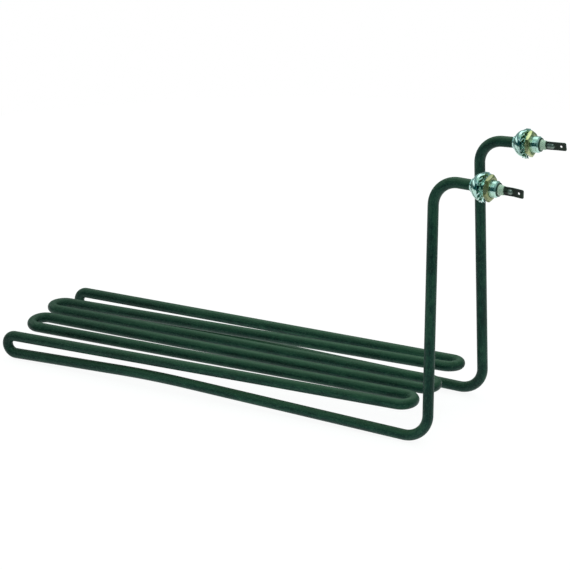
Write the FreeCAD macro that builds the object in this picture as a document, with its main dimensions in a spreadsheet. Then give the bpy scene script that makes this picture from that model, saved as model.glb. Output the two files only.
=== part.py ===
import FreeCAD, Part
import Sketcher
import math
import os
from FreeCAD import Placement, Rotation, Vector

# Tubular heating element: one bent tube, eight legs and two risers, with a screwed bush, a lock
# washer, a nut, a bead and a spade tab at each end. +X runs along the legs towards the terminals,
# +Y to the rear, +Z up. The origin is at the middle of the bounding box, on the ground.

doc = FreeCAD.newDocument("heating_element")
sheet = doc.addObject("Spreadsheet::Sheet", "sizes")

# Driving dimensions, in millimetres and degrees. Legs are numbered from the rear to the front.
DRIVING = [
    ("tube_diameter", 8.0, "outside of the sheath"),
    ("tube_wall", 0.8, "wall of the sheath"),
    ("coil_diameter", 3.4, "outside of the wound resistance wire"),
    ("pin_diameter", 2.5, "cold pin"),
    ("packing_gap", 0.05, "between the packed filling and what it touches"),
    ("cold_depth", 110.0, "how far each cold pin reaches down its riser, from the head corner"),
    ("plug_depth", 8.0, "how far the end seal reaches into the sheath"),
    ("leg_pitch", 18.0, "between the axes of two neighbouring upper legs"),
    ("end_drop", 14.4, "from the axis of an outer leg down to the lower leg folded under it"),
    ("far_height_1", 21.1, "axis of leg 1 above the line of the lower axes, at the far end"),
    ("far_height_2", 17.5, "the same, leg 2"),
    ("far_height_3", 18.2, "the same, leg 3"),
    ("far_height_4", 18.7, "the same, leg 4"),
    ("far_height_5", 17.1, "the same, leg 5"),
    ("far_height_6", 14.4, "the same, leg 6"),
    ("near_height_1", 23.3, "axis of leg 1 above the line of the lower axes, at the riser end"),
    ("near_height_2", 25.1, "the same, leg 2"),
    ("near_height_3", 20.4, "the same, leg 3"),
    ("near_height_4", 20.5, "the same, leg 4"),
    ("near_height_5", 21.5, "the same, leg 5"),
    ("near_height_6", 21.6, "the same, leg 6"),
    ("far_tip_rear", 10.0, "end of the bend that folds leg 1 down, from the foremost far bend"),
    ("far_tip_two_three", 3.5, "end of the bend between legs 2 and 3"),
    ("far_tip_four_five", 7.5, "end of the bend between legs 4 and 5"),
    ("near_tip_one_two", 349.5, "end of the bend between legs 1 and 2"),
    ("near_tip_three_four", 347.0, "end of the bend between legs 3 and 4"),
    ("near_tip_five_six", 345.5, "end of the bend between legs 5 and 6"),
    ("bow_distance", 132.5, "from the far end to the bow of a lower leg"),
    ("bow_height", 5.7, "how far the bow stands above the line of the lower axes"),
    ("bow_radius", 900.0, "radius of the bow"),
    ("foot_distance", 363.5, "from the far end to the foot of a riser"),
    ("foot_spacing", 99.2, "between the two feet"),
    ("foot_radius", 18.3, "bend at the foot of a riser, on the axis"),
    ("head_distance", 361.5, "from the far end to the head of a riser"),
    ("head_spacing", 78.4, "between the two heads"),
    ("head_radius", 19.2, "bend at the head of a riser, on the axis"),
    ("front_head_height", 195.4, "front terminal axis above the line of the lower axes"),
    ("rear_head_height", 201.5, "rear terminal axis above the line of the lower axes"),
    ("front_reach", 29.6, "from the front head corner to its bush"),
    ("rear_reach", 27.6, "from the rear head corner to its bush"),
    ("front_yaw", -2.4, "front terminal, turned from +X about the vertical"),
    ("rear_yaw", -0.9, "rear terminal, turned from +X about the vertical"),
    ("front_pitch", 0.0, "front terminal, tipped up from the horizontal"),
    ("rear_pitch", 3.4, "rear terminal, tipped up from the horizontal"),
    ("crimp_gap", 0.05, "between the sheath and the bore of its bush"),
    ("collar_diameter", 9.6, "crimped collar of the bush, over the corners"),
    ("collar_flats", 9.1, "across the crimped flats of the collar"),
    ("collar_length", 1.2, "crimped length"),
    ("crimp_count", 8, "flats round the collar"),
    ("bell_radius", 8.0, "domed curve from the collar to the flange"),
    ("flange_diameter", 19.2, "flange of the bush"),
    ("flange_back", 6.3, "from the start of the bush to the back of the flange rim"),
    ("flange_rim", 1.8, "thickness of the flange at its rim"),
    ("thread_diameter", 11.9, "crest of the bush thread, for a 12 mm hole"),
    ("thread_chamfer", 0.9, "chamfer at the free end"),
    ("bush_length", 20.4, "whole bush"),
    ("washer_gap", 0.2, "between the thread and the washer, all round"),
    ("washer_root", 16.0, "plain ring of the lock washer, outside"),
    ("washer_tips", 21.6, "over the teeth"),
    ("washer_thickness", 1.0, "sheet thickness of the washer"),
    ("tooth_count", 18, "teeth of the lock washer"),
    ("tooth_width", 2.2, "one tooth at its root"),
    ("tooth_end_width", 3.7, "one tooth at its end"),
    ("tooth_root_twist", 12.0, "twist of a tooth where it leaves the ring"),
    ("tooth_twist", 42.0, "twist of a tooth at its end"),
    ("nut_flats", 17.0, "across the flats of the nut"),
    ("nut_thickness", 3.5, "thickness of the nut"),
    ("nut_gap", 0.05, "between the thread and the nut, all round"),
    ("nut_chamfer", 0.9, "how far the chamfer reaches down a corner of the nut"),
    ("nut_face", 16.0, "round face that the chamfer leaves on the nut"),
    ("nut_countersink", 0.5, "countersink at each end of the nut's bore"),
    ("seal_diameter", 9.9, "lip of the end seal"),
    ("seal_lip", 0.8, "thickness of the lip"),
    ("bead_base", 8.2, "ceramic bead where it meets the lip"),
    ("bead_waist", 7.0, "ceramic bead above its shoulder"),
    ("bead_end", 6.6, "ceramic bead at its outer end"),
    ("bead_shoulder", 1.2, "length of the shoulder"),
    ("bead_length", 3.6, "length of the bead"),
    ("bead_bore_gap", 0.15, "between the pin and the bead, all round"),
    ("saddle_gap", 0.03, "between the pin and the saddle pressed into the tab"),
    ("saddle_reach", 6.8, "from the root of the tab to the end of the saddle"),
    ("shoulder_length", 7.0, "from the root of the tab to the line where its blade may be bent"),
    ("blade_width", 6.3, "spade tab"),
    ("blade_thickness", 0.8, "sheet thickness of the tab"),
    ("blade_length", 8.4, "blade beyond the bend line"),
    ("blade_corner", 1.1, "rounded corner of the blade"),
    ("blade_hole", 1.7, "latching hole of the blade"),
    ("blade_hole_inset", 3.9, "from the end of the blade to the hole"),
    ("front_blade_bend", -10.0, "front blade, bent about the vertical"),
    ("rear_blade_bend", 0.0, "rear blade, bent about the vertical"),
    ("front_tab_roll", 0.0, "front tab, turned about its own axis"),
    ("rear_tab_roll", 10.0, "rear tab, turned about its own axis"),
    ("front_nut_turn", 11.0, "front nut, turned about its axis"),
    ("rear_nut_turn", 26.0, "rear nut, turned about its axis"),
    ("front_nut_slack", 1.0, "front nut, from the washer that it doesn't clamp yet"),
    ("rear_nut_slack", 0.0, "rear nut, from the washer that it doesn't clamp yet"),
]
for row, (alias, value, meaning) in enumerate(DRIVING, start=1):
    sheet.set("A%d" % row, alias)
    sheet.set("B%d" % row, str(value))
    sheet.set("C%d" % row, meaning)
    sheet.setAlias("B%d" % row, alias)
doc.recompute()


class Size:
    """A size with its number and the sheet expression that gives it."""

    def __init__(self, number, text):
        self.number = number
        self.text = text

    def __add__(self, other):
        other = sized(other)
        return Size(self.number + other.number, "(%s + %s)" % (self.text, other.text))

    def __sub__(self, other):
        other = sized(other)
        return Size(self.number - other.number, "(%s - %s)" % (self.text, other.text))

    def __mul__(self, other):
        other = sized(other)
        return Size(self.number * other.number, "(%s * %s)" % (self.text, other.text))

    def __truediv__(self, other):
        other = sized(other)
        return Size(self.number / other.number, "(%s / %s)" % (self.text, other.text))

    def __neg__(self):
        return Size(-self.number, "(-%s)" % self.text)


def sized(value):
    return value if isinstance(value, Size) else Size(float(value), repr(float(value)))


def size(alias):
    return Size(float(sheet.get(alias)), "sizes." + alias)


def number(alias):
    return size(alias).number


def sine(angle):
    return Size(math.sin(math.radians(angle.number)), "sin(%s * 1deg)" % angle.text)


def cosine(angle):
    return Size(math.cos(math.radians(angle.number)), "cos(%s * 1deg)" % angle.text)


NOTHING = sized(0)
tube_radius = size("tube_diameter") / 2
bore_radius = tube_radius - size("tube_wall")
pin_radius = size("pin_diameter") / 2
coil_radius = size("coil_diameter") / 2
packed_pin = pin_radius + size("packing_gap")
packed_coil = coil_radius + size("packing_gap")
packed_bore = bore_radius - size("packing_gap")
thread_radius = size("thread_diameter") / 2
seat_start = size("flange_back") + size("flange_rim")
# A twisted tooth stands this far out of the washer's middle plane, on both sides.
tooth_lean = size("tooth_end_width") / 2 * sine(size("tooth_twist"))
tooth_reach = tooth_lean + size("washer_thickness") / 2 * cosine(size("tooth_twist"))
washer_middle = seat_start + tooth_reach
nut_start = washer_middle + tooth_reach
tab_start = size("bush_length") + size("seal_lip") + size("bead_length")
saddle_inside = pin_radius + size("saddle_gap")
saddle_outside = saddle_inside + size("blade_thickness")
pin_grip = size("saddle_reach") - saddle_outside


# The route of the tube's axis.

FOLD = "fold"


def half_angle(corner, before, after):
    return (before - corner).getAngle(after - corner) / 2


def fold_radius(before, first, second, after):
    """Radius of the half-turn whose two arcs meet in the middle of its short side."""
    halves = (half_angle(first, before, second), half_angle(second, first, after))
    return first.distanceToPoint(second) / sum(1 / math.tan(half) for half in halves)


def arc_at(corner, before, after, radius):
    """Start, middle and end of the arc that rounds a corner of the route."""
    back = (before - corner).normalize()
    ahead = (after - corner).normalize()
    half = half_angle(corner, before, after)
    tangent = radius / math.tan(half)
    middle = corner + (back + ahead).normalize() * (radius / math.sin(half) - radius)
    return corner + back * tangent, middle, corner + ahead * tangent


def route(corners, radii):
    """Wire of straight runs joined by tangent arcs. A fold spans two corners with no run between."""
    rounded = list(radii)
    for index in range(len(rounded) - 1):
        if rounded[index] == FOLD:
            rounded[index] = rounded[index + 1] = fold_radius(*corners[index:index + 4])
    edges = []
    last = corners[0]
    for index, radius in enumerate(rounded, start=1):
        start, middle, end = arc_at(corners[index], corners[index - 1], corners[index + 1], radius)
        if last.distanceToPoint(start) > 0.001:
            edges.append(Part.LineSegment(last, start).toShape())
            last = start
        edges.append(Part.Arc(last, middle, end).toShape())
        last = end
    edges.append(Part.LineSegment(last, corners[-1]).toShape())
    return Part.Wire(edges)


UPPER_LEGS = 6


def leg_y(leg):
    return ((UPPER_LEGS + 1) / 2 - leg) * number("leg_pitch")


def leg_height(leg, x):
    """Height of an upper leg's axis: a straight line from its far height to its near height."""
    far, near = number("far_height_%d" % leg), number("near_height_%d" % leg)
    return far + (near - far) * x / number("near_tip_three_four")


def leg_point(leg, x):
    return Vector(x, leg_y(leg), leg_height(leg, x))


class Terminal:
    """One end of the tube: its corners, from the far end of its lower leg to its axis."""

    def __init__(self, name, leg, sign, far_tip):
        self.name = name
        foot = number("foot_spacing") / 2
        head = number("head_spacing") / 2
        self.top = leg_point(leg, far_tip)
        self.low = self.top - Vector(0, 0, number("end_drop"))
        self.foot = Vector(number("foot_distance"), sign * foot, 0)
        self.head = Vector(number("head_distance"), sign * head, number(name + "_head_height"))
        share = (number("bow_distance") - far_tip) / (self.foot.x - far_tip)
        bow_y = self.low.y + (self.foot.y - self.low.y) * share
        self.bow = Vector(number("bow_distance"), bow_y, number("bow_height"))
        yaw, pitch = number(name + "_yaw"), number(name + "_pitch")
        self.turn = Rotation(Vector(0, 0, 1), yaw).multiply(Rotation(Vector(0, 1, 0), -pitch))
        self.along = self.turn.multVec(Vector(1, 0, 0))
        self.start = self.head + self.along * number(name + "_reach")
        riser = (self.foot - self.head).normalize()
        self.joint = self.head + riser * number("cold_depth")

    def at(self, distance):
        """A point on the terminal's axis, measured from the start of its bush."""
        return self.start + self.along * distance

    def tip(self):
        """End of the blade, beyond its bend."""
        roll = Rotation(Vector(1, 0, 0), number(self.name + "_tab_roll"))
        bend = Rotation(Vector(0, 0, 1), number(self.name + "_blade_bend"))
        blade = self.turn.multiply(roll).multiply(bend).multVec(Vector(number("blade_length"), 0, 0))
        return self.at((tab_start + size("shoulder_length")).number) + blade


front = Terminal("front", 6, -1, 0.0)
rear = Terminal("rear", 1, 1, number("far_tip_rear"))
terminals = [front, rear]

heated_corners = [front.foot, front.bow, front.low, front.top]
heated_radii = [number("foot_radius"), number("bow_radius"), FOLD, FOLD]
for leg_a, leg_b, tip in (
    (6, 5, "near_tip_five_six"),
    (5, 4, "far_tip_four_five"),
    (4, 3, "near_tip_three_four"),
    (3, 2, "far_tip_two_three"),
    (2, 1, "near_tip_one_two"),
):
    heated_corners += [leg_point(leg_a, number(tip)), leg_point(leg_b, number(tip))]
    heated_radii += [FOLD, FOLD]
heated_corners += [rear.top, rear.low, rear.bow, rear.foot]
heated_radii += [FOLD, FOLD, number("bow_radius"), number("foot_radius")]


def whole_route():
    """The route from one end of the sheath to the other."""
    reach = number("bush_length")
    corners = [front.at(reach), front.head] + heated_corners + [rear.head, rear.at(reach)]
    radii = [number("head_radius")] + heated_radii + [number("head_radius")]
    return route(corners, radii)


def rod(spine, radius):
    """A round rod along a wire."""
    start = spine.OrderedVertexes[0].Point
    edge = spine.OrderedEdges[0]
    heading = edge.tangentAt(edge.FirstParameter)
    section = Part.Face(Part.Wire(Part.makeCircle(radius.number, start, heading)))
    solid = spine.makePipe(section)
    if abs(solid.Volume / (section.Area * spine.Length) - 1) > 0.001:
        raise RuntimeError("a rod's volume is not its section times its length")
    return solid


def tube(spine, outer, inner):
    return rod(spine, outer).cut(rod(spine, inner))


pieces = []
# The route is drawn from the foremost far bend. The origin is put in the middle of the length.
length_middle = (max(t.tip().x for t in terminals) - tube_radius.number) / 2
to_origin = Vector(-length_middle, 0, tube_radius.number)


def keep(label, item, placement):
    item.Label = label
    item.Placement = placement
    pieces.append(item)


def keep_shape(label, shape):
    item = doc.addObject("Part::Feature", label)
    item.Shape = shape
    keep(label, item, Placement(to_origin, Rotation()))


def on_terminal(terminal, distance, turn=0.0):
    """Placement on a terminal's axis, turned about that axis."""
    spin = terminal.turn.multiply(Rotation(Vector(1, 0, 0), turn))
    return Placement(terminal.at(distance.number) + to_origin, spin)


# Sheath, wound wire, cold pins and packed filling.

def cold_route(terminal, reach):
    corners = [terminal.at(reach.number), terminal.head, terminal.joint]
    return route(corners, [number("head_radius")])


keep_shape("sheath", tube(whole_route(), tube_radius, bore_radius))

heated = route([front.joint] + heated_corners + [rear.joint], heated_radii)
keep_shape("resistance_coil", rod(heated, coil_radius))

filling = tube(heated, packed_bore, packed_coil)
for terminal in terminals:
    pin = rod(cold_route(terminal, tab_start + pin_grip), pin_radius)
    keep_shape(terminal.name + "_cold_pin", pin)
    filled = cold_route(terminal, size("bush_length") - size("plug_depth"))
    filling = filling.fuse(tube(filled, packed_bore, packed_pin))
keep_shape("magnesia_filling", filling)


# Helpers for the turned and stamped pieces, each drawn about its own X axis.

def origin_plane(body, role):
    return [item for item in body.Origin.OriginFeatures if item.Role == role][0]


def new_sketch(body, name, role):
    sketch = body.newObject("Sketcher::SketchObject", name)
    sketch.AttachmentSupport = [(origin_plane(body, role), "")]
    sketch.MapMode = "FlatFace"
    return sketch


def hold(sketch, kind, places, value):
    """Add a dimension to a sketch and bind it to the sheet."""
    index = sketch.addConstraint(Sketcher.Constraint(kind, *places, value.number))
    sketch.setExpression("Constraints[%d]" % index, value.text)


def pin_down(sketch, index, end, x, y):
    hold(sketch, "DistanceX", (-1, 1, index, end), x)
    hold(sketch, "DistanceY", (-1, 1, index, end), y)


def arc_between(start, end, radius, side):
    """Arc of a sketch, with its centre to the left or the right of the way from start to end."""
    way = end - start
    left = Vector(-way.y, way.x, 0).normalize()
    rise = math.sqrt(radius ** 2 - (way.Length / 2) ** 2)
    centre = (start + end) * 0.5 + left * (rise if side == "left" else -rise)
    first, last = (start, end) if side == "left" else (end, start)
    angles = [math.atan2(p.y - centre.y, p.x - centre.x) for p in (first, last)]
    if angles[1] < angles[0]:
        angles[1] += 2 * math.pi
    return Part.ArcOfCircle(Part.Circle(centre, Vector(0, 0, 1), radius), *angles)


def outline(sketch, points):
    """Closed outline. A point may add the radius and the centre's side of the arc that ends there."""
    count = len(points)
    corners = [Vector(point[0].number, point[1].number, 0) for point in points]
    ends = []
    for index, point in enumerate(points):
        start, end = corners[index - 1], corners[index]
        if len(point) == 2:
            sketch.addGeometry(Part.LineSegment(start, end))
            ends.append((1, 2))
        else:
            radius, side = point[2:]
            sketch.addGeometry(arc_between(start, end, radius.number, side))
            ends.append((1, 2) if side == "left" else (2, 1))
    for index, point in enumerate(points):
        follower = (index + 1) % count
        last = ends[index][1]
        joined = (index, last, follower, ends[follower][0])
        sketch.addConstraint(Sketcher.Constraint("Coincident", *joined))
        pin_down(sketch, index, last, point[0], point[1])
        if len(point) == 4:
            hold(sketch, "Radius", (index,), point[2])
    return sketch


def rectangle(low_x, high_x, low_y, high_y):
    return [(low_x, low_y), (high_x, low_y), (high_x, high_y), (low_x, high_y)]


def circle(sketch, radius, x=NOTHING, y=NOTHING):
    centre = Vector(x.number, y.number, 0)
    index = sketch.addGeometry(Part.Circle(centre, Vector(0, 0, 1), radius.number))
    if x is NOTHING and y is NOTHING:
        sketch.addConstraint(Sketcher.Constraint("Coincident", index, 3, -1, 1))
    else:
        pin_down(sketch, index, 3, x, y)
    hold(sketch, "Radius", (index,), radius)


def feature(body, kind, name, profile, removes=False, **settings):
    """Add a feature, bind its sizes and check that the solid grew or shrank as it should."""
    before = body.Shape.Volume if body.Tip else 0.0
    item = body.newObject("PartDesign::" + kind, name)
    if profile:
        item.Profile = profile
    for key, value in settings.items():
        if isinstance(value, Size):
            item.setExpression(key, value.text)
        else:
            setattr(item, key, value)
    body.Tip = item
    doc.recompute()
    grown = body.Shape.Volume - before
    if (-grown if removes else grown) < 1e-6:
        raise RuntimeError("%s did not change %s" % (name, body.Name))
    return item


def revolved(body, kind, name, points, removes=False, angle=360.0, midplane=False):
    profile = outline(new_sketch(body, name + "_profile", "XY_Plane"), points)
    axis = (profile, ["H_Axis"])
    feature(body, kind, name, profile, removes, ReferenceAxis=axis, Angle=angle, Midplane=midplane)


def turned(body, name, points):
    """Solid turned from an outline of distances and radii about the body's X axis."""
    revolved(body, "Revolution", name, points)


def turned_out(body, name, points):
    """Cut turned out of the solid."""
    revolved(body, "Groove", name, points, removes=True)


def repeated(body, name, original, count, removes=False):
    """Repeat a feature round the body's X axis."""
    turn = {"Axis": (origin_plane(body, "X_Axis"), [""]), "Angle": 360, "Occurrences": count}
    feature(body, "PolarPattern", name, None, removes, Originals=[original], **turn)


# Threaded bush: collar crimped on the tube, bell, flange and threaded shank.

def threaded_bush(terminal):
    body = doc.addObject("PartDesign::Body", terminal.name + "_bush")
    bore = tube_radius + size("crimp_gap")
    collar = size("collar_diameter") / 2
    flange = size("flange_diameter") / 2
    length = size("bush_length")
    chamfer = size("thread_chamfer")
    turned(body, "blank", [
        (NOTHING, bore),
        (length, bore),
        (length, thread_radius - chamfer),
        (length - chamfer, thread_radius),
        (seat_start, thread_radius),
        (seat_start, flange),
        (size("flange_back"), flange),
        (size("collar_length"), collar, size("bell_radius"), "left"),
        (NOTHING, collar),
    ])
    flat = new_sketch(body, "crimp_profile", "XY_Plane")
    clear = collar + sized(1)
    outline(flat, rectangle(NOTHING - sized(1), size("collar_length"), size("collar_flats") / 2, clear))
    width = size("collar_diameter")
    crimp = feature(body, "Pocket", "crimp", flat, removes=True, Length=width, Midplane=True)
    repeated(body, "crimps", crimp, size("crimp_count"), removes=True)
    keep(terminal.name + "_threaded_bush", body, on_terminal(terminal, NOTHING))


# Lock washer: a flat ring whose outside teeth are twisted out of the sheet.

def tooth_section(body, name, radius, width, twist):
    """Rectangle across a tooth, at a radius, turned by the twist."""
    sketch = new_sketch(body, name, "XY_Plane")
    sketch.setExpression("AttachmentOffset.Base.z", radius.text)
    half_wide, half_thick = width / 2, size("washer_thickness") / 2
    wide = (half_wide * sine(twist), half_wide * cosine(twist))
    thick = (half_thick * cosine(twist), -(half_thick * sine(twist)))
    outline(sketch, [
        (-wide[0] - thick[0], -wide[1] - thick[1]),
        (-wide[0] + thick[0], -wide[1] + thick[1]),
        (wide[0] + thick[0], wide[1] + thick[1]),
        (wide[0] - thick[0], wide[1] - thick[1]),
    ])
    return sketch


def lock_washer(terminal):
    body = doc.addObject("PartDesign::Body", terminal.name + "_washer")
    inside = thread_radius + size("washer_gap")
    half = size("washer_thickness") / 2
    ring = size("washer_root") / 2
    turned(body, "ring", rectangle(-half, half, inside, ring))
    root = tooth_section(body, "root_section", ring - half, size("tooth_width"), size("tooth_root_twist"))
    end = tooth_section(
        body, "end_section", size("washer_tips") / 2, size("tooth_end_width"), size("tooth_twist")
    )
    tooth = feature(body, "AdditiveLoft", "tooth", root, Sections=[end], Ruled=True)
    repeated(body, "teeth", tooth, size("tooth_count"))
    keep(terminal.name + "_lock_washer", body, on_terminal(terminal, washer_middle))


# Hexagon nut, chamfered at both ends.

def hex_nut(terminal):
    body = doc.addObject("PartDesign::Body", terminal.name + "_nut")
    half_flats = size("nut_flats") / 2
    corner = size("nut_flats") / sized(math.sqrt(3))
    bore = thread_radius + size("nut_gap")
    thickness = size("nut_thickness")
    hexagon = outline(new_sketch(body, "hexagon", "YZ_Plane"), [
        (corner, NOTHING),
        (corner / 2, half_flats),
        (-corner / 2, half_flats),
        (-corner, NOTHING),
        (-corner / 2, -half_flats),
        (corner / 2, -half_flats),
    ])
    circle(hexagon, bore)
    feature(body, "Pad", "blank", hexagon, Length=thickness)
    face = size("nut_face") / 2
    clear = corner + sized(0.2)
    inside = bore - sized(0.2)
    sink = size("nut_countersink")
    chamfer = size("nut_chamfer")
    for name, end, depth, chamfer in (
        ("back", NOTHING, sink, chamfer),
        ("front", thickness, -sink, -chamfer),
    ):
        turned_out(body, name + "_chamfer", [(end, face), (end, clear), (end + chamfer, clear)])
        mouth = [(end, inside), (end, bore + sink), (end + depth, bore), (end + depth, inside)]
        turned_out(body, name + "_countersink", mouth)
    start = nut_start + size(terminal.name + "_nut_slack")
    place = on_terminal(terminal, start, number(terminal.name + "_nut_turn"))
    keep(terminal.name + "_hex_nut", body, place)


# End seal: a plug in the mouth of the sheath, with a lip over its end.

def end_seal(terminal):
    body = doc.addObject("PartDesign::Body", terminal.name + "_seal")
    lip = size("seal_diameter") / 2
    turned(body, "plug_and_lip", [
        (-size("plug_depth"), packed_pin),
        (size("seal_lip"), packed_pin),
        (size("seal_lip"), lip),
        (NOTHING, lip),
        (NOTHING, packed_bore),
        (-size("plug_depth"), packed_bore),
    ])
    keep(terminal.name + "_end_seal", body, on_terminal(terminal, size("bush_length")))


# Ceramic bead, on the pin between the seal and the tab.

def ceramic_bead(terminal):
    body = doc.addObject("PartDesign::Body", terminal.name + "_bead")
    bore = pin_radius + size("bead_bore_gap")
    turned(body, "bead", [
        (NOTHING, bore),
        (size("bead_length"), bore),
        (size("bead_length"), size("bead_end") / 2),
        (size("bead_shoulder"), size("bead_waist") / 2),
        (NOTHING, size("bead_base") / 2),
    ])
    place = on_terminal(terminal, size("bush_length") + size("seal_lip"))
    keep(terminal.name + "_ceramic_bead", body, place)


# Spade tab: a flat strip with a domed half-round saddle pressed into it, which holds the pin.

def saddle_outline(radius, start):
    """Outline of half a domed rod, in front of the strip."""
    dome = (pin_grip + radius, NOTHING, radius, "left")
    return [(start, NOTHING), (start, -radius), (pin_grip, -radius), dome]


def spade_tab(terminal):
    body = doc.addObject("PartDesign::Body", terminal.name + "_tab")
    half_wide = size("blade_width") / 2
    thickness = size("blade_thickness")
    root_edges = rectangle(NOTHING, size("shoulder_length"), -half_wide, half_wide)
    root = outline(new_sketch(body, "root", "XZ_Plane"), root_edges)
    feature(body, "Pad", "root_strip", root, Length=thickness, Midplane=True)
    length, corner = size("blade_length"), size("blade_corner")
    blade = new_sketch(body, "blade", "XZ_Plane")
    bend = Rotation(Vector(0, 1, 0), number(terminal.name + "_blade_bend"))
    blade.AttachmentOffset = Placement(Vector(number("shoulder_length"), 0, 0), bend)
    blade.setExpression("AttachmentOffset.Base.x", "sizes.shoulder_length")
    outline(blade, [
        (-thickness / 2, -half_wide),
        (length - corner, -half_wide),
        (length, corner - half_wide, corner, "left"),
        (length, half_wide - corner),
        (length - corner, half_wide, corner, "left"),
        (-thickness / 2, half_wide),
    ])
    circle(blade, size("blade_hole") / 2, length - size("blade_hole_inset"))
    feature(body, "Pad", "blade_strip", blade, Length=thickness, Midplane=True)
    dome = saddle_outline(saddle_outside, NOTHING)
    revolved(body, "Revolution", "saddle", dome, angle=180.0, midplane=True)
    turned_out(body, "pin_seat", saddle_outline(saddle_inside, -thickness))
    place = on_terminal(terminal, tab_start, number(terminal.name + "_tab_roll"))
    keep(terminal.name + "_spade_tab", body, place)


for terminal in terminals:
    threaded_bush(terminal)
    lock_washer(terminal)
    hex_nut(terminal)
    end_seal(terminal)
    ceramic_bead(terminal)
    spade_tab(terminal)

doc.recompute()
for item in doc.Objects:
    if "Invalid" in item.State or "Error" in item.State:
        raise RuntimeError("%s failed: %s" % (item.Label, item.State))
os.makedirs("parts", exist_ok=True)
for item in pieces:
    if item.Shape.isNull() or not item.Shape.isValid():
        raise RuntimeError(item.Label + " is not a valid solid")
    item.Shape.exportStep("parts/%s.step" % item.Label)
    box = item.Shape.BoundBox
    print("%-24s %10.1f mm3  x %7.1f %7.1f  y %6.1f %6.1f  z %6.1f %6.1f" % (
        item.Label, item.Shape.Volume, box.XMin, box.XMax, box.YMin, box.YMax, box.ZMin, box.ZMax
    ))
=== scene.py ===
import math
import bpy
import numpy as np
from mathutils import Matrix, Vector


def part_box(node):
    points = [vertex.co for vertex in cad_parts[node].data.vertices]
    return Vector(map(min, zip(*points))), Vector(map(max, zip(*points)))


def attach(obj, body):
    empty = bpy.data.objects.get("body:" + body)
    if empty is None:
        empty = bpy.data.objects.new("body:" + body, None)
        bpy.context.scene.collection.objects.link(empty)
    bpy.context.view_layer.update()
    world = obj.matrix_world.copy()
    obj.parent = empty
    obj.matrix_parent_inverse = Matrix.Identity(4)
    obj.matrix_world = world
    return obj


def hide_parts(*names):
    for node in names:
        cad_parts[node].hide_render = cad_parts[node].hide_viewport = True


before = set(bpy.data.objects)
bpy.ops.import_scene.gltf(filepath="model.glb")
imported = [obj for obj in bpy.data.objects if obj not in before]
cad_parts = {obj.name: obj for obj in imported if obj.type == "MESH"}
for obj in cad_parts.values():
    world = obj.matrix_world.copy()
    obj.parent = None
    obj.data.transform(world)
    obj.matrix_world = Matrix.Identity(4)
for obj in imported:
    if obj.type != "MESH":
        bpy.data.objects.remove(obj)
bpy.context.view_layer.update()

millimetre = 0.001
slack = 0.01  # millimetres, tells one row of a surface from the next
sharpAngle = 38  # degrees between two faces, past which their edge stays sharp
print("frame loaded:", len(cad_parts), "nodes")


# Colours and nodes

def hexColour(text):
    # sRGB hex to linear: divide by 12.92 near black, else ((c + 0.055) / 1.055) to the power 2.4
    channels = [int(text[i:i + 2], 16) / 255 for i in (1, 3, 5)]
    linear = [c / 12.92 if c <= 0.04045 else ((c + 0.055) / 1.055) ** 2.4 for c in channels]
    return (*linear, 1.0)


def feed(tree, node, links):
    # each socket, by name or in order, gets a value, a node's socket, or a node's first live one
    for socket, value in links.items() if isinstance(links, dict) else enumerate(links):
        if isinstance(value, bpy.types.Node):
            value = next(output for output in value.outputs if output.enabled)
        if isinstance(value, bpy.types.NodeSocket):
            tree.links.new(value, node.inputs[socket])
        else:
            node.inputs[socket].default_value = value


def addNode(tree, kind, settings, links):
    # settings are the node's own properties, and the stops of a colour ramp
    node = tree.nodes.new(kind)
    for name, value in settings.items():
        if name == "ramp":
            stops = node.color_ramp.elements
            while len(stops) < len(value):
                stops.new(0.5)
            for stop, (place, colour) in zip(stops, value):
                stop.position = place
                stop.color = hexColour(colour)
        else:
            setattr(node, name, value)
    feed(tree, node, links)
    return node


def startMaterial(name):
    material = bpy.data.materials.new(name)
    material.use_nodes = True
    return material, material.node_tree, material.node_tree.nodes["Principled BSDF"]


def placeOnPiece(tree):
    # the piece's own place in millimetres, with X along its axis
    own = addNode(tree, "ShaderNodeAttribute", {"attribute_name": "ownPlace"}, {})
    return own.outputs["Vector"]


def placeInFrame(tree):
    # Object coordinates, turned from metres to millimetres
    metres = addNode(tree, "ShaderNodeTexCoord", {}, {}).outputs["Object"]
    links = {"Vector": metres, "Scale": (1 / millimetre,) * 3}
    return addNode(tree, "ShaderNodeMapping", {}, links)


def blotches(tree, place, size, detail, stretch=1.0):
    # noise whose blotches are about size wide in millimetres, and stretch times as long along X
    links = {"Vector": place, "Scale": (1 / stretch, 1, 1)}
    squeezed = addNode(tree, "ShaderNodeMapping", {}, links)
    links = {"Vector": squeezed, "Scale": 1 / size, "Detail": detail}
    return addNode(tree, "ShaderNodeTexNoise", {}, links)


# Surfaces: each is a closed grid of points in millimetres, rows along it and columns round it

def gridFaces(rows, columns, start, ring):
    # the four neighbours of each cell; columns close into a loop, and so do the rows of a ring
    index = start + np.arange(rows * columns).reshape(rows, columns)
    aside, ahead = np.roll(index, -1, 1), np.roll(index, -1, 0)
    cells = np.stack([index, aside, np.roll(ahead, -1, 1), ahead], -1)
    faces = cells[:rows if ring else rows - 1].reshape(-1, 4).tolist()
    if not ring:
        faces += [index[0, ::-1].tolist(), index[-1].tolist()]
    return faces


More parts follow.
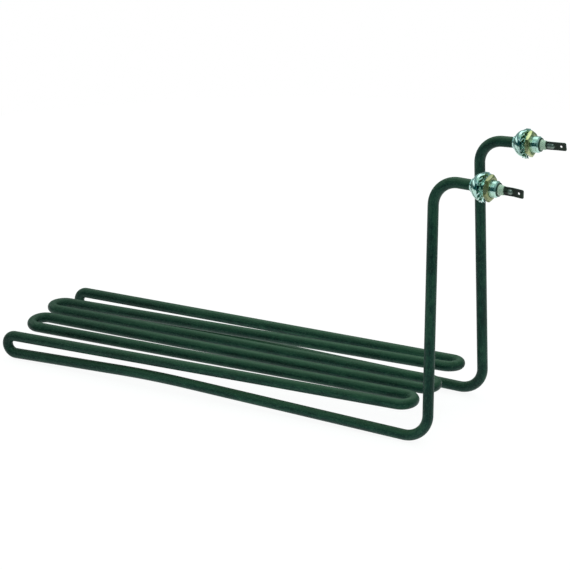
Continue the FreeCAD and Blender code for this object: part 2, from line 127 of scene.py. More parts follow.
def addPiece(name, grids, material, node, ring=True, rubbed=None):
    # grids are pairs of points in the frame and in the piece's own place, which its material reads;
    # the last argument is how far each point is worn to bare metal and painted highlight, from 0 to
    # 1
    faces, start = [], 0
    for points, own in grids:
        faces += gridFaces(points.shape[0], points.shape[1], start, ring)
        start += points.shape[0] * points.shape[1]
    points = np.concatenate([points.reshape(-1, 3) for points, own in grids])
    ownPlace = np.concatenate([own.reshape(-1, 3) for points, own in grids])
    mesh = bpy.data.meshes.new(name)
    mesh.from_pydata((points * millimetre).tolist(), [], faces)
    attribute = mesh.attributes.new("ownPlace", "FLOAT_VECTOR", "POINT")
    attribute.data.foreach_set("vector", ownPlace.astype(np.float32).ravel())
    if rubbed is not None:
        attribute = mesh.attributes.new("rubbed", "FLOAT", "POINT")
        attribute.data.foreach_set("value", rubbed.astype(np.float32).ravel())
    mesh.polygons.foreach_set("use_smooth", np.ones(len(mesh.polygons), dtype=bool))
    mesh.set_sharp_from_angle(angle=math.radians(sharpAngle))
    mesh.materials.append(material)
    mesh.update()
    piece = bpy.data.objects.new(name, mesh)
    bpy.context.scene.collection.objects.link(piece)
    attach(piece, "root")
    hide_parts(node)
    print(name, len(mesh.polygons), "faces")


def softened(rows, roundings, steps=4):
    # a closed outline of rows, each row a distance and a radius for every column; a rounded row
    # becomes the curve (1 - t)^2 A + 2 t (1 - t) P + t^2 B from A behind it to B ahead of it
    mostShare = 0.45  # a rounding takes no more than this of the side next to it
    rows = [np.stack(np.broadcast_arrays(*np.atleast_1d(*row)), -1).astype(float) for row in rows]
    columns = max(len(row) for row in rows)
    rows = [np.broadcast_to(row, (columns, 2)) for row in rows]
    share = np.linspace(0, 1, steps)[:, None, None]
    curve = []
    for index, (row, rounding) in enumerate(zip(rows, roundings)):
        if not rounding:
            curve.append(row[None])
            continue
        back, ahead = rows[index - 1] - row, rows[(index + 1) % len(rows)] - row
        backLength = np.linalg.norm(back, axis=1)[:, None]
        aheadLength = np.linalg.norm(ahead, axis=1)[:, None]
        behind = row + back / backLength * np.minimum(rounding, mostShare * backLength)
        before = row + ahead / aheadLength * np.minimum(rounding, mostShare * aheadLength)
        middle = 2 * share * (1 - share) * row
        curve.append((1 - share) ** 2 * behind + middle + share ** 2 * before)
    return np.concatenate(curve)


def turnedAbout(curve, columns):
    # x is the distance, y is radius times cosine and z is radius times sine of the column's angle
    angle = np.linspace(0, 2 * np.pi, columns, endpoint=False)
    distance, radius = np.broadcast_to(curve, (len(curve), columns, 2)).transpose(2, 0, 1)
    return np.stack([distance, radius * np.cos(angle), radius * np.sin(angle)], -1)


def smoothStep(value):
    # nought below nought, one above one, and 3v^2 - 2v^3 between
    value = np.clip(value, 0, 1)
    return value * value * (3 - 2 * value)


# Route of the tube, in millimetres from the foremost far bend; leg 1 is the rear one

route = {
    "tubeDiameter": 8.0, "tubeWall": 0.8, "legPitch": 18.0, "endDrop": 14.4,
    "farHeights": (21.1, 17.5, 18.2, 18.7, 17.1, 14.4),
    "nearHeights": (23.3, 25.1, 20.4, 20.5, 21.5, 21.6),
    "farTips": {"rear": 10.0, "twoThree": 3.5, "fourFive": 7.5, "front": 0.0},
    "nearTips": {"oneTwo": 349.5, "threeFour": 347.0, "fiveSix": 345.5},
    "bowDistance": 132.5, "bowHeight": 5.7, "bowRadius": 900.0,
    "footDistance": 363.5, "footSpacing": 99.2, "footRadius": 18.3,
    "headDistance": 361.5, "headSpacing": 78.4, "headRadius": 19.2,
}
# each end of the tube, and how its own fittings stand; angles are in degrees
# each end's tab turns bare from its own place along the saddle, to place a painted highlight
terminals = {
    "front": {
        "leg": 6, "side": -1, "headHeight": 195.4, "reach": 29.6, "yaw": -2.4, "pitch": 0.0,
        "nutTurn": 11.0, "nutSlack": 1.0, "tabRoll": 0.0, "bladeBend": -10.0, "rubbedHighlightFrom": 3.0,
    },
    "rear": {
        "leg": 1, "side": 1, "headHeight": 201.5, "reach": 27.6, "yaw": -0.9, "pitch": 3.4,
        "nutTurn": 26.0, "nutSlack": 0.0, "tabRoll": 10.0, "bladeBend": 0.0, "rubbedHighlightFrom": 0.5,
    },
}
bush = {
    "boreGap": 0.05, "collarDiameter": 9.6, "collarFlats": 9.1, "collarLength": 1.2,
    "crimpLength": 0.9, "crimps": 8, "bellRadius": 8.0, "bellSteps": 12,
    "flangeDiameter": 19.2, "flangeBack": 6.3, "flangeRim": 1.8,
    "threadDiameter": 11.9, "threadPitch": 1.0, "threadDepth": 0.16, "threadStart": 0.05,
    "threadStep": 0.09, "crestFrom": 0.32, "flank": 0.28, "threadFade": 1.0,
    "chamfer": 0.9, "length": 20.4, "edge": 0.2, "rootEdge": 0.1, "columns": 96,
}
tubeRadius = route["tubeDiameter"] / 2
boreRadius = tubeRadius - route["tubeWall"]
# the far bend touches the low end of the sheath's box, and the lower legs rest on the ground
origin = np.array([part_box("sheath")[0].x / millimetre + tubeRadius, 0, tubeRadius])


def rotation(axis, degrees):
    # turn about one axis: the other two mix by the cosine and the sine of the angle
    first, second = {"X": (1, 2), "Y": (2, 0), "Z": (0, 1)}[axis]
    matrix = np.eye(3)
    matrix[first, first] = matrix[second, second] = math.cos(math.radians(degrees))
    matrix[second, first] = math.sin(math.radians(degrees))
    matrix[first, second] = -matrix[second, first]
    return matrix


def terminalFrame(name):
    # the head's corner, the turn of the terminal's axes, and where its bush starts along the first
    end = terminals[name]
    aside = end["side"] * route["headSpacing"] / 2
    head = np.array([route["headDistance"], aside, end["headHeight"]])
    turn = rotation("Z", end["yaw"]) @ rotation("Y", -end["pitch"])
    return head, turn, head + turn[:, 0] * end["reach"]


def onTerminal(name, points, distance, roll=0.0):
    # points about the X axis go to a terminal: rolled about the axis, swung with it and moved along
    turn, start = terminalFrame(name)[1:]
    swing = turn @ rotation("X", roll)
    return (points + [distance, 0, 0]) @ swing.T + start + origin, points


def legPoint(leg, x):
    # an upper leg climbs evenly from its far height to its near height; the middle of the pack is
    # between legs 3 and 4
    far, near = route["farHeights"][leg - 1], route["nearHeights"][leg - 1]
    height = far + (near - far) * x / route["nearTips"]["threeFour"]
    return np.array([x, (3.5 - leg) * route["legPitch"], height])


def endCorners(name):
    # from the mouth of the tube: head and foot of the riser, bow of the lower leg and its far fold;
    # seen from above, the bow is on the line from the fold to the foot
    end = terminals[name]
    head, turn, start = terminalFrame(name)
    top = legPoint(end["leg"], route["farTips"][name])
    low = top - [0, 0, route["endDrop"]]
    foot = np.array([route["footDistance"], end["side"] * route["footSpacing"] / 2, 0])
    share = (route["bowDistance"] - top[0]) / (foot[0] - top[0])
    bow = np.array([route["bowDistance"], low[1] + (foot[1] - low[1]) * share, route["bowHeight"]])
    mouth = start + turn[:, 0] * bush["length"]
    return [mouth, head, foot, bow, low, top]


def sheathCorners():
    # corners of the whole route, and the radius at each inner one; two corners of a fold have none
    front, rear = endCorners("front"), endCorners("rear")
    near, far = route["nearTips"], route["farTips"]
    folds = []
    for legs, tip in (((6, 5), near["fiveSix"]), ((5, 4), far["fourFive"]),
                      ((4, 3), near["threeFour"]), ((3, 2), far["twoThree"]),
                      ((2, 1), near["oneTwo"])):
        folds += [legPoint(leg, tip) for leg in legs]
    bends = [route["headRadius"], route["footRadius"], route["bowRadius"]]
    radii = bends + [0] * (len(folds) + 4) + bends[::-1]
    return np.array(front + folds + rear[::-1]), np.array(radii, float)


def spun(vector, axis, angles):
    # v cos(angle) + (axis x v) sin(angle) + axis (axis . v) (1 - cos(angle)), a row for each angle
    cosine, sine = np.cos(angles)[:, None], np.sin(angles)[:, None]
    return vector * cosine + np.cross(axis, vector) * sine + axis * (axis @ vector) * (1 - cosine)


def stations(runStep, bendStep):
    # straight runs joined by tangent arcs, and a frame carried along them that never twists; the
    # two arcs of a fold meet, so their radius is the short side over the sum of tan(turn / 2)
    corners, radii = sheathCorners()
    runs = np.diff(corners, axis=0)
    lengths = np.linalg.norm(runs, axis=1)
    ways = runs / lengths[:, None]
    turns = np.arccos((ways[:-1] * ways[1:]).sum(1))
    tangents = np.tan(turns / 2)
    for index in np.flatnonzero(radii == 0)[::2]:
        radii[index:index + 2] = lengths[index + 1] / tangents[index:index + 2].sum()
    trims = np.concatenate([[0], radii * tangents, [0]])
    side = np.cross(ways[0], [0, 0, 1])
    side /= np.linalg.norm(side)
    places, sides, headings = [], [], []
    for index, way in enumerate(ways):
        start = corners[index] + way * trims[index]
        end = corners[index + 1] - way * trims[index + 1]
        length = np.linalg.norm(end - start)
        if length > slack:
            share = np.arange(0, 1, 1 / math.ceil(length / runStep))[:, None]
            places.append(start + (end - start) * share)
            sides.append(np.tile(side, (len(share), 1)))
            headings.append(np.tile(way, (len(share), 1)))
        if index < len(turns):
            axis = np.cross(way, ways[index + 1])
            axis /= np.linalg.norm(axis)
            steps = math.ceil(turns[index] * radii[index] / bendStep)
            angles = np.arange(steps) / steps * turns[index]
            inward = np.cross(axis, way) * radii[index]
            places.append(end + inward + spun(-inward, axis, angles))
            sides.append(spun(side, axis, angles))
            headings.append(spun(way, axis, angles))
            side = spun(side, axis, turns[index:index + 1])[0]
    places.append(corners[-1:])
    sides.append(side[None])
    headings.append(ways[-1:])
    return np.concatenate(places), np.concatenate(sides), np.concatenate(headings)


# Finishes: a pattern's size is in millimetres, and a range says from where to where its values run
# and what they become; relief is how far the pattern stands out, and how strongly that shows

# drawn heat-resisting steel tube, oxidised when it was annealed: near-black green with a weak
# head-on gloss that grows at a glance, cloudy oxide patches, drawing lines and a fine sanded grain;
# a paler colour painted on what faces up is painted top light, the colour darkens towards the far
# bends, and small pale specks are worn through
sheathFinish = {
    "clouds": {"size": 14, "detail": 4, "stretch": 3},
    "streaks": {"size": 1.1, "detail": 3, "stretch": 30},
    "flecks": {"size": 2.4, "detail": 5, "stretch": 2.2},
    "shadeRange": (1.2, 1.8, 0.25, 0.79),
    "shades": [(0.30, "#011f19"), (0.48, "#052b23"), (0.60, "#0c3429"), (0.74, "#1b4231")],
    # painted top light: a paler green laid on the more the surface faces up
    "filmAndTopLight": {"colour": "#2f5034", "range": (0.1, 1.0, 0.0, 0.7)},  # by how far the surface faces up
    # the colour grows darker towards the far bends
    "farDarkening": {"colour": "#04140f", "range": (-215, -40, 0.45, 0.0)},  # by X, in millimetres
    "worn": {"colour": "#43624e", "range": (0.50, 0.80, 0.0, 0.55)},
    "specks": {"size": 0.7, "detail": 6, "stretch": 1.6},
    "uniform": {"Specular IOR Level": 0.35, "IOR": 1.45, "Specular Tint": hexColour("#acdccc")},
    "roughness": (0.3, 0.7, 0.38, 0.56),
    "grain": {"size": 0.6, "detail": 2},
    "relief": {"Distance": 0.045 * millimetre, "Strength": 0.6},
}


def oxidisedSheathSteel():
    # clouds, streaks and flecks add up to the shade, and over it lie painted top light on what
    # faces up, a darkening towards the far bends and worn specks
    finish = sheathFinish
    material, tree, shader = startMaterial("heat oxidised steel tube")
    place = placeOnPiece(tree)
    clouds, streaks, flecks, specks, grain = [
        blotches(tree, place, **finish[pattern])
        for pattern in ("clouds", "streaks", "flecks", "specks", "grain")]
    mixed = addNode(tree, "ShaderNodeMath", {"operation": "ADD"}, [clouds, streaks])
    mixed = addNode(tree, "ShaderNodeMath", {"operation": "ADD"}, [mixed, flecks])
    shade = addNode(tree, "ShaderNodeMapRange", {}, [mixed, *finish["shadeRange"]])
    colour = addNode(tree, "ShaderNodeValToRGB", {"ramp": finish["shades"]}, [shade])
    facing = addNode(tree, "ShaderNodeNewGeometry", {}, {}).outputs["Normal"]
    upward = addNode(tree, "ShaderNodeSeparateXYZ", {}, [facing]).outputs["Z"]
    along = addNode(tree, "ShaderNodeSeparateXYZ", {}, [placeInFrame(tree)]).outputs["X"]
    # the first layer is painted top light, paler where the surface faces up
    for layer, pattern in (("filmAndTopLight", upward), ("farDarkening", along), ("worn", specks)):
        share = addNode(tree, "ShaderNodeMapRange", {}, [pattern, *finish[layer]["range"]])
        links = {"Factor": share, "A": colour, "B": hexColour(finish[layer]["colour"])}
        colour = addNode(tree, "ShaderNodeMix", {"data_type": "RGBA"}, links)
    height = addNode(tree, "ShaderNodeMath", {"operation": "ADD"}, [streaks, grain])
    feed(tree, shader, {
        **finish["uniform"], "Base Color": colour,
        "Roughness": addNode(tree, "ShaderNodeMapRange", {}, [streaks, *finish["roughness"]]),
        "Normal": addNode(tree, "ShaderNodeBump", {}, {**finish["relief"], "Height": height}),
    })
    return material


def cloudyFinish(name, finish, placing=placeOnPiece):
    # patches give the shade, and the roughness where that has a range; the relief follows the
    # grain where there is one, and else the patches
    material, tree, shader = startMaterial(name)
    place = placing(tree)
    patches = blotches(tree, place, **finish["patches"])
    grain = blotches(tree, place, **finish["grain"]) if "grain" in finish else patches
    feed(tree, shader, {
        **finish["uniform"],
        "Base Color": addNode(tree, "ShaderNodeValToRGB", {"ramp": finish["shades"]}, [patches]),
        "Normal": addNode(tree, "ShaderNodeBump", {}, {**finish["relief"], "Height": grain}),
    })
    if "roughness" in finish:
        roughness = addNode(tree, "ShaderNodeMapRange", {}, [patches, *finish["roughness"]])
        feed(tree, shader, {"Roughness": roughness})
    return material


# turned steel, zinc plated and blue passivated: bright cold metal with fine tool marks round it
zincFinish = {
    "uniform": {"Metallic": 1.0}, "patches": {"size": 4, "detail": 2},
    "shades": [(0.30, "#9fc4be"), (0.50, "#b0d4cb"), (0.70, "#b2d6c4")],
    "roughness": (0.3, 0.7, 0.10, 0.20), "grain": {"size": 0.18, "detail": 1, "stretch": 0.05},
    "relief": {"Distance": 0.002 * millimetre, "Strength": 0.5},
}
# hexagon bar, zinc plated and yellow passivated: straw to olive metal with cloudy iridescence;
# this copy, for the front nut, is darker and less metallic as painted shade
shadedNutFinish = {
    "uniform": {"Metallic": 0.6}, "patches": {"size": 3.5, "detail": 3},
    "shades": [(0.32, "#78814c"), (0.50, "#88915e"), (0.66, "#989d78")],
    "roughness": (0.3, 0.7, 0.14, 0.26), "grain": {"size": 0.5, "detail": 2},
    "relief": {"Distance": 0.015 * millimetre, "Strength": 0.5},
}
# the rear nut's copy, brighter and more metallic as a painted highlight
litNutFinish = {
    **shadedNutFinish, "uniform": {"Metallic": 0.9},
    "shades": [(0.32, "#8e9a66"), (0.50, "#a2ac79"), (0.66, "#b7c094")],
}
# moulded silicone: a dark satin ring, slightly uneven where it was pressed in
sealFinish = {
    "uniform": {"Specular IOR Level": 0.35}, "patches": {"size": 2.5, "detail": 3},
    "shades": [(0.3, "#0a2a20"), (0.7, "#174634")], "roughness": (0.3, 0.7, 0.42, 0.58),
    "relief": {"Distance": 0.05 * millimetre, "Strength": 1.0},
}
# pressed steatite: matt, pale and a little translucent, with faint pits and a greenish cast
beadFinish = {
    "uniform": {"Subsurface Weight": 0.12, "Subsurface Radius": (0.002, 0.002, 0.0015),
                "IOR": 1.55},
    "patches": {"size": 1.6, "detail": 4},
    "shades": [(0.3, "#93ae97"), (0.5, "#a6c2aa"), (0.72, "#b3cab2")],
    "roughness": (0.3, 0.7, 0.5, 0.66), "grain": {"size": 0.35, "detail": 3},
    "relief": {"Distance": 0.03 * millimetre, "Strength": 1.0},
}
# drawn and nickelled steel: plain grey metal with faint cloudy patches
pinFinish = {
    "uniform": {"Metallic": 1.0, "Roughness": 0.32}, "patches": {"size": 0.8, "detail": 3},
    "shades": [(0.3, "#8d958c"), (0.7, "#b4bab0")],
    "relief": {"Distance": 0.02 * millimetre, "Strength": 1.0},
}
# nickel chromium wire, wound close: dull warm grey metal
wireFinish = {
    "uniform": {"Metallic": 1.0, "Roughness": 0.4}, "patches": {"size": 0.5, "detail": 3},
    "shades": [(0.3, "#5f5a52"), (0.7, "#86807a")],
    "relief": {"Distance": 0.02 * millimetre, "Strength": 1.0},
}
# magnesia powder, packed hard when the tube was drawn down: matt off-white with a fine grain
powderFinish = {
    "uniform": {"Metallic": 0.0, "Roughness": 0.9}, "patches": {"size": 0.4, "detail": 3},
    "shades": [(0.3, "#dcd9cf"), (0.7, "#f1efe8")],
    "relief": {"Distance": 0.02 * millimetre, "Strength": 1.0},
}
# stamped steel tab, nickelled and dulled by heat: a dark oxide film, rubbed down to grey metal
# where the sheet was pressed, along its edges and round its hole; the lighter bare metal there is
# also a painted highlight on the edges, the hole's rim and the end of the saddle
tabFinish = {
    "uniform": {"Specular IOR Level": 0.2}, "patches": {"size": 2.2, "detail": 4},
    "shades": [(0.34, "#05130c"), (0.52, "#0f2016"), (0.70, "#243524")],
    # the bare colour is worn grey metal that also paints highlights
    "wear": {"size": 1.2, "detail": 3}, "wearRange": (0.35, 0.6, 0.55, 1.0), "bareAndHighlight": "#72837a",
    "roughness": (0.3, 0.7, 0.22, 0.4), "grain": {"size": 0.7, "detail": 3},
    "relief": {"Distance": 0.02 * millimetre, "Strength": 1.0},
}


def heatDulledTabSteel():
    # how bare the metal is, worn and also painted as highlights: the piece's own value for it
    # times patches of wear
    finish = tabFinish
    material, tree, shader = startMaterial("heat dulled nickelled steel")
    place = placeOnPiece(tree)
    patches, wear, grain = [
        blotches(tree, place, **finish[pattern]) for pattern in ("patches", "wear", "grain")]
    wear = addNode(tree, "ShaderNodeMapRange", {}, [wear, *finish["wearRange"]])
    rubbed = addNode(tree, "ShaderNodeAttribute", {"attribute_name": "rubbed"}, {}).outputs["Fac"]
    bareAndHighlight = addNode(tree, "ShaderNodeMath", {"operation": "MULTIPLY"}, [rubbed, wear])
    filmAndTopLight = addNode(tree, "ShaderNodeValToRGB", {"ramp": finish["shades"]}, [patches])
    links = {"Factor": bareAndHighlight, "A": filmAndTopLight, "B": hexColour(finish["bareAndHighlight"])}
    feed(tree, shader, {
        **finish["uniform"], "Metallic": bareAndHighlight,
        "Base Color": addNode(tree, "ShaderNodeMix", {"data_type": "RGBA"}, links),
        "Roughness": addNode(tree, "ShaderNodeMapRange", {}, [patches, *finish["roughness"]]),
        "Normal": addNode(tree, "ShaderNodeBump", {}, {**finish["relief"], "Height": grain}),
    })
    return material


sheathSteel = oxidisedSheathSteel()
tabSteel = heatDulledTabSteel()
zincPlate = cloudyFinish("blue passivated zinc plate", zincFinish)
# one plate in two copies: painted shade on the front nut, a painted highlight on the rear
nutPlate = {
    "front": cloudyFinish("yellow zinc plate with painted shade", shadedNutFinish),
    "rear": cloudyFinish("yellow zinc plate with painted highlight", litNutFinish),
}
sealSilicone = cloudyFinish("silicone end seal", sealFinish)
beadCeramic = cloudyFinish("pressed steatite ceramic", beadFinish)
pinSteel = cloudyFinish("drawn nickelled steel pin", pinFinish, placeInFrame)
coilWire = cloudyFinish("nickel chromium resistance wire", wireFinish, placeInFrame)
powder = cloudyFinish("compacted magnesia powder", powderFinish, placeInFrame)
print("materials made")


# Sheath: the bent tube with its whole wall, outside and bore

sheath = {"runStep": 3.0, "bendStep": 1.2, "boreRunStep": 9.0, "boreBendStep": 2.2, "columns": 40}


def tubeRings(radius, runStep, bendStep):
    # centre + radius (side cos(angle) + (heading x side) sin(angle)); own is the tube made straight
    places, sides, headings = stations(runStep, bendStep)
    angle = np.linspace(0, 2 * np.pi, sheath["columns"], endpoint=False)[:, None]
    up = np.cross(headings, sides)
    ring = sides[:, None] * np.cos(angle) + up[:, None] * np.sin(angle)
    travelled = np.concatenate([[0], np.cumsum(np.linalg.norm(np.diff(places, axis=0), axis=1))])
    own = np.empty_like(ring)
    own[..., 0] = travelled[:, None]
    own[..., 1:] = radius * np.concatenate([np.cos(angle), np.sin(angle)], 1)
    return places[:, None] + ring * radius + origin, own


outside = tubeRings(tubeRadius, sheath["runStep"], sheath["bendStep"])
bore = tubeRings(boreRadius, sheath["boreRunStep"], sheath["boreBendStep"])
wall = [np.concatenate([outer, inner[::-1]]) for outer, inner in zip(outside, bore)]
addPiece("bentSheath", [wall], sheathSteel, "sheath")


# Threaded bush: crimped collar, domed bell, flange and a rolled thread

def bellArc(start, end):
    # an arc whose centre is away from the middle of the line, by sqrt(radius^2 - half its length^2)
    way = end - start
    half = np.linalg.norm(way) / 2
    away = math.sqrt(bush["bellRadius"] ** 2 - half ** 2)
    centre = (start + end) / 2 + np.array([way[1], -way[0]]) / (2 * half) * away
    first, last = [math.atan2(*(point - centre)[::-1]) for point in (start, end)]
    return [tuple(centre + bush["bellRadius"] * np.array([math.cos(angle), math.sin(angle)]))
            for angle in np.linspace(first, last, bush["bellSteps"])]


def bushCurve():
    # distance and radius, from the bore round the collar, bell, flange and the thread's blank
    bore, collar = tubeRadius + bush["boreGap"], bush["collarDiameter"] / 2
    flange, thread = bush["flangeDiameter"] / 2, bush["threadDiameter"] / 2
    arc = bellArc(np.array([bush["collarLength"], collar]), np.array([bush["flangeBack"], flange]))
    seat = bush["flangeBack"] + bush["flangeRim"]
    first, last = seat + bush["threadStart"], bush["length"] - bush["chamfer"]
    steps = int((last - first) / bush["threadStep"])
    threadRows = [(x, thread) for x in np.linspace(first, last, steps + 1)]
    chamferRows = [(last + bush["chamfer"] * share, thread - bush["chamfer"] * share)
                   for share in (0.25, 0.5, 0.75)]
    rows = [(0, bore), (0, collar), (bush["crimpLength"], collar)] + arc
    rows += [(seat, flange), (seat, thread)] + threadRows + chamferRows
    rows += [(bush["length"], thread - bush["chamfer"]), (bush["length"], bore)]
    edges = [0, bush["edge"], 0] + [0] * (len(arc) - 1) + [bush["edge"]] * 2 + [bush["rootEdge"]]
    edges += [0] * (len(threadRows) + len(chamferRows)) + [bush["rootEdge"], 0]
    return softened(rows, edges), seat


def threadedBush(name):
    curve, seat = bushCurve()
    curve = np.broadcast_to(curve, (len(curve), bush["columns"], 2)).copy()
    distance, radius = curve[..., 0], curve[..., 1]
    angle = np.linspace(0, 2 * np.pi, bush["columns"], endpoint=False)[None]
    outer = radius > tubeRadius + bush["boreGap"] + slack
    # crimp: the radius stays under half the flats over the cosine of the angle from a flat's middle
    crimpAngle = 2 * np.pi / bush["crimps"]
    fromFlat = (angle + crimpAngle / 2) % crimpAngle - crimpAngle / 2
    flat = bush["collarFlats"] / 2 / np.cos(fromFlat)
    crimped = outer & (distance < (bush["crimpLength"] + bush["collarLength"]) / 2)
    radius[crimped] = np.minimum(radius, flat + 0 * radius)[crimped]
    # thread: a helix whose depth follows w = |2 frac((x - pitch angle / 2 pi) / pitch) - 1|, flat
    # at the crest and the root, and which fades in over the first turn from the flange
    turns = distance / bush["threadPitch"] - angle / (2 * np.pi)
    wave = np.abs(2 * (turns % 1) - 1)
    fade = smoothStep((distance - seat) / bush["threadFade"])
    depth = bush["threadDepth"] * smoothStep((bush["crestFrom"] - wave) / bush["flank"]) * fade
    beyond, before = seat + bush["threadStart"] - slack, bush["length"] - slack
    threaded = outer & (distance > beyond) & (distance < before)
    radius[threaded] = np.minimum(radius, bush["threadDiameter"] / 2 - depth)[threaded]
    place = onTerminal(name, turnedAbout(curve, bush["columns"]), 0)
    addPiece(name + "ThreadedBush", [place], zincPlate, name + "_threaded_bush")


# Lock washer: a plain ring with twisted outside teeth

washer = {
    "gap": 0.2, "rootDiameter": 16.0, "tipDiameter": 21.6, "thickness": 1.0, "edge": 0.16,
    "teeth": 18, "rootWidth": 2.2, "endWidth": 3.7, "rootTwist": 12.0, "endTwist": 42.0,
    "tipTrim": 0.12, "tipEdge": 0.016, "columns": 96, "rows": 10, "cornerSteps": 4,
}
lean = math.radians(washer["endTwist"])
toothReach = washer["endWidth"] / 2 * math.sin(lean) + washer["thickness"] / 2 * math.cos(lean)
washerMiddle = bush["flangeBack"] + bush["flangeRim"] + toothReach


def toothGrid():
    # a rounded rectangle carried out along Z while it widens and twists about Z; each corner is
    # half the side less the edge, plus the edge times the cosine or sine of the corner's angle
    share = np.linspace(0, 1, washer["rows"])[:, None]
    root = washer["rootDiameter"] / 2 - washer["thickness"] / 2
    height = root + (washer["tipDiameter"] / 2 - root) * share
    steps = washer["cornerSteps"]
    angle = (np.repeat(np.arange(4), steps) + np.tile(np.linspace(0, 1, steps), 4)) * np.pi / 2
    nudge = 0.001  # keeps the ends of each corner on its own side
    edge = np.where(share == 1, washer["tipEdge"], washer["edge"])
    trim = washer["tipTrim"] * (share == 1)
    halfWide = (washer["rootWidth"] + (washer["endWidth"] - washer["rootWidth"]) * share) / 2 - trim
    halfThick = washer["thickness"] / 2 - trim
    thick = np.sign(np.cos(angle + nudge)) * (halfThick - edge) + edge * np.cos(angle)
    wide = np.sign(np.sin(angle + nudge)) * (halfWide - edge) + edge * np.sin(angle)
    twist = np.radians(washer["rootTwist"] + (washer["endTwist"] - washer["rootTwist"]) * share)
    x = wide * np.sin(twist) + thick * np.cos(twist)
    y = wide * np.cos(twist) - thick * np.sin(twist)
    return np.stack([x, y, np.broadcast_to(height, x.shape)], -1)


def lockWasher(name):
    # the ring is a rounded rectangle turned about the axis; its teeth are one tooth turned round it
    node = name + "_lock_washer"
    inner = bush["threadDiameter"] / 2 + washer["gap"]
    half, outer = washer["thickness"] / 2, washer["rootDiameter"] / 2
    rows = [(-half, inner), (-half, outer), (half, outer), (half, inner)]
    curve = softened(rows, [washer["edge"]] * 4)
    place = onTerminal(name, turnedAbout(curve, washer["columns"]), washerMiddle)
    addPiece(name + "WasherRing", [place], zincPlate, node)
    turns = 360 * np.arange(washer["teeth"]) / washer["teeth"]
    teeth = [toothGrid() @ rotation("X", turn).T for turn in turns]
    places = [onTerminal(name, points, washerMiddle) for points in teeth]
    addPiece(name + "WasherTeeth", places, zincPlate, node, ring=False)


# Hexagon nut

nut = {
    "flats": 17.0, "thickness": 3.5, "gap": 0.05, "chamfer": 0.9, "faceDiameter": 16.0,
    "countersink": 0.5, "cornerOver": 0.2, "edge": 0.15, "sharpness": 90, "columns": 144,
}


def hexNut(name):
    # the six flats make the radius a / (sum of cos^p)^(1/p) of the angle from each flat's middle,
    # with corners that p leaves slightly round; the chamfer's cone ends where it is as wide
    angle = np.linspace(0, 2 * np.pi, nut["columns"], endpoint=False)
    flats = np.radians(30 + 60 * np.arange(6))[:, None]
    reached = (np.clip(np.cos(angle - flats), 0, 1) ** nut["sharpness"]).sum(0)
    side = nut["flats"] / 2 / reached ** (1 / nut["sharpness"])
    bore = bush["threadDiameter"] / 2 + nut["gap"]
    face, sink, thick = nut["faceDiameter"] / 2, nut["countersink"], nut["thickness"]
    slope = nut["chamfer"] / (nut["flats"] / math.sqrt(3) + nut["cornerOver"] - face)
    crease = (side - face) * slope
    rows = [(sink, bore), (0, bore + sink), (0, face), (crease, side), (thick - crease, side),
            (thick, face), (thick, bore + sink), (thick - sink, bore)]
    curve = softened(rows, [0] + [nut["edge"]] * 6 + [0])
    start = washerMiddle + toothReach + terminals[name]["nutSlack"]
    place = onTerminal(name, turnedAbout(curve, nut["columns"]), start, terminals[name]["nutTurn"])
    addPiece(name + "HexNut", [place], nutPlate[name], name + "_hex_nut")


# End seal and ceramic bead, each an outline turned about the axis

seal = {
    "diameter": 9.9, "lip": 0.8, "plugDepth": 8.0, "pinDiameter": 2.5, "gap": 0.05, "edge": 0.2,
    "columns": 72,
}
bead = {
    "base": 8.2, "waist": 7.0, "end": 6.6, "shoulder": 1.2, "length": 3.6, "gap": 0.15,
    "edge": 0.35, "columns": 72,
}
pinRadius = seal["pinDiameter"] / 2


def endSeal(name):
    # a plug inside the tube, and a lip on the bush's end
    plug, inner = boreRadius - seal["gap"], pinRadius + seal["gap"]
    outer, lip, deep, edge = seal["diameter"] / 2, seal["lip"], -seal["plugDepth"], seal["edge"]
    rows = [(deep, plug), (0, plug), (0, outer), (lip, outer), (lip, inner), (deep, inner)]
    curve = softened(rows, [0, 0, edge, edge, 0, 0])
    place = onTerminal(name, turnedAbout(curve, seal["columns"]), bush["length"])
    addPiece(name + "EndSeal", [place], sealSilicone, name + "_end_seal")


def ceramicBead(name):
    # a short cone from its base to the shoulder, and a slimmer one from there to its end
    inner, length, edge = pinRadius + bead["gap"], bead["length"], bead["edge"]
    rows = [(0, bead["base"] / 2), (bead["shoulder"], bead["waist"] / 2), (length, bead["end"] / 2),
            (length, inner), (0, inner)]
    curve = softened(rows, [edge / 2, edge, edge, edge / 2, 0])
    place = onTerminal(name, turnedAbout(curve, bead["columns"]), bush["length"] + seal["lip"])
    addPiece(name + "CeramicBead", [place], beadCeramic, name + "_ceramic_bead")


# Spade tab: a strip with a latching hole and a domed saddle pressed into it

tab = {
    "width": 6.3, "thickness": 0.8, "shoulder": 7.0, "blade": 8.4, "corner": 1.1, "hole": 1.7,
    "holeInset": 3.9, "saddleReach": 6.8, "saddleGap": 0.03, "saddleFoot": 2.2,
    # the rubbed values spread bare metal in from the edges and over the saddle's end, also as
    # painted highlight
    "saddleFullness": 0.8, "bendLength": 1.2, "edge": 0.14, "rubbedHighlightEdge": 0.4, "rubbedHighlightMost": 0.4,
    "rubbedHighlightPress": 0.5, "rubbedHighlightFade": 1.5, "columns": 208, "rows": 34, "cornerSteps": 9,
}


def tabOutline():
    # the strip's edge as arcs and runs, walked at even steps from the middle of the tip towards -Z
    length, half, corner = tab["shoulder"] + tab["blade"], tab["width"] / 2, tab["corner"]
    quarter = np.linspace(0, np.pi / 2, tab["cornerSteps"])
    along = length - corner + corner * np.cos(quarter)
    low = np.stack([along, corner - half - corner * np.sin(quarter)], 1)
    walk = np.concatenate([[[length, 0]], low, [[0, -half], [0, half]], low[::-1] * [1, -1],
                           [[length, 0]]])
    reached = np.concatenate([[0], np.cumsum(np.linalg.norm(np.diff(walk, axis=0), axis=1))])
    steps = np.linspace(0, reached[-1], tab["columns"], endpoint=False)
    return np.stack([np.interp(steps, reached, walk[:, axis]) for axis in (0, 1)], -1)


